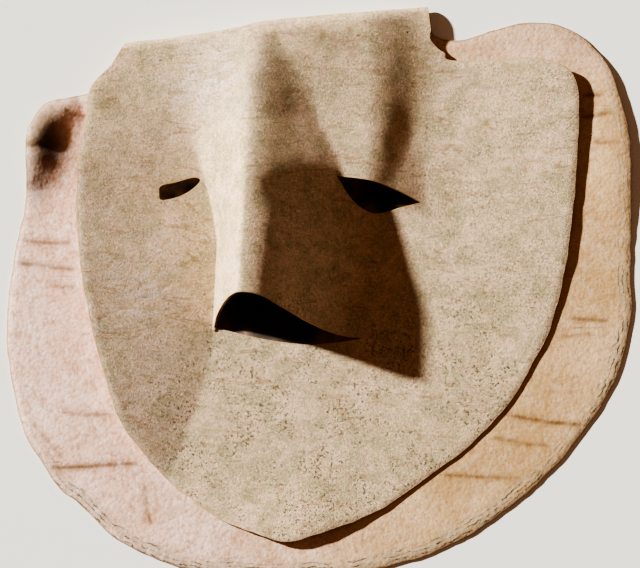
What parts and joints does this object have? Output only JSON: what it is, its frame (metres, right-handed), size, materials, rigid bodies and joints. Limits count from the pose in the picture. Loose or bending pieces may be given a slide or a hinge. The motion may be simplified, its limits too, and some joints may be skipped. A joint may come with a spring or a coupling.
{
  "type": "leather face mask",
  "caption": "Leather face mask and neck flap cut from one hide and folded at the crown, with a formed nose and brow, mouth and eye openings, and a living hinge.",
  "frame": {"origin": "centre of the box round the closed mask, on its underside, where it lies on a table", "axes": "+Y up the face to the crown, +X to the right of the face as it is looked at, +Z out of the face, away from the table"},
  "size_m": [0.2355, 0.217, 0.0291],
  "materials": {
    "grain_leather": "grain side up: smooth, creased and scuffed vegetable-tanned leather with a satin gloss and a dark worn edge",
    "suede_leather": "flesh side up: matt napped suede with dark specks, wrinkles and grey wear"
  },
  "bodies": {
    "neck": {"neck_flap": "grain_leather", "crown_fold_back": "suede_leather"},
    "face": {"face_panel": "suede_leather", "crown_fold_front": "suede_leather"}
  },
  "joints": [
    {"name": "crown_fold", "type": "hinge", "parent": "neck", "child": "face", "pos_m": [-0.016, 0.1015, 0.004], "axis": [-0.9925, -0.1219, 0], "range_deg": [0, 154]}
  ]
}
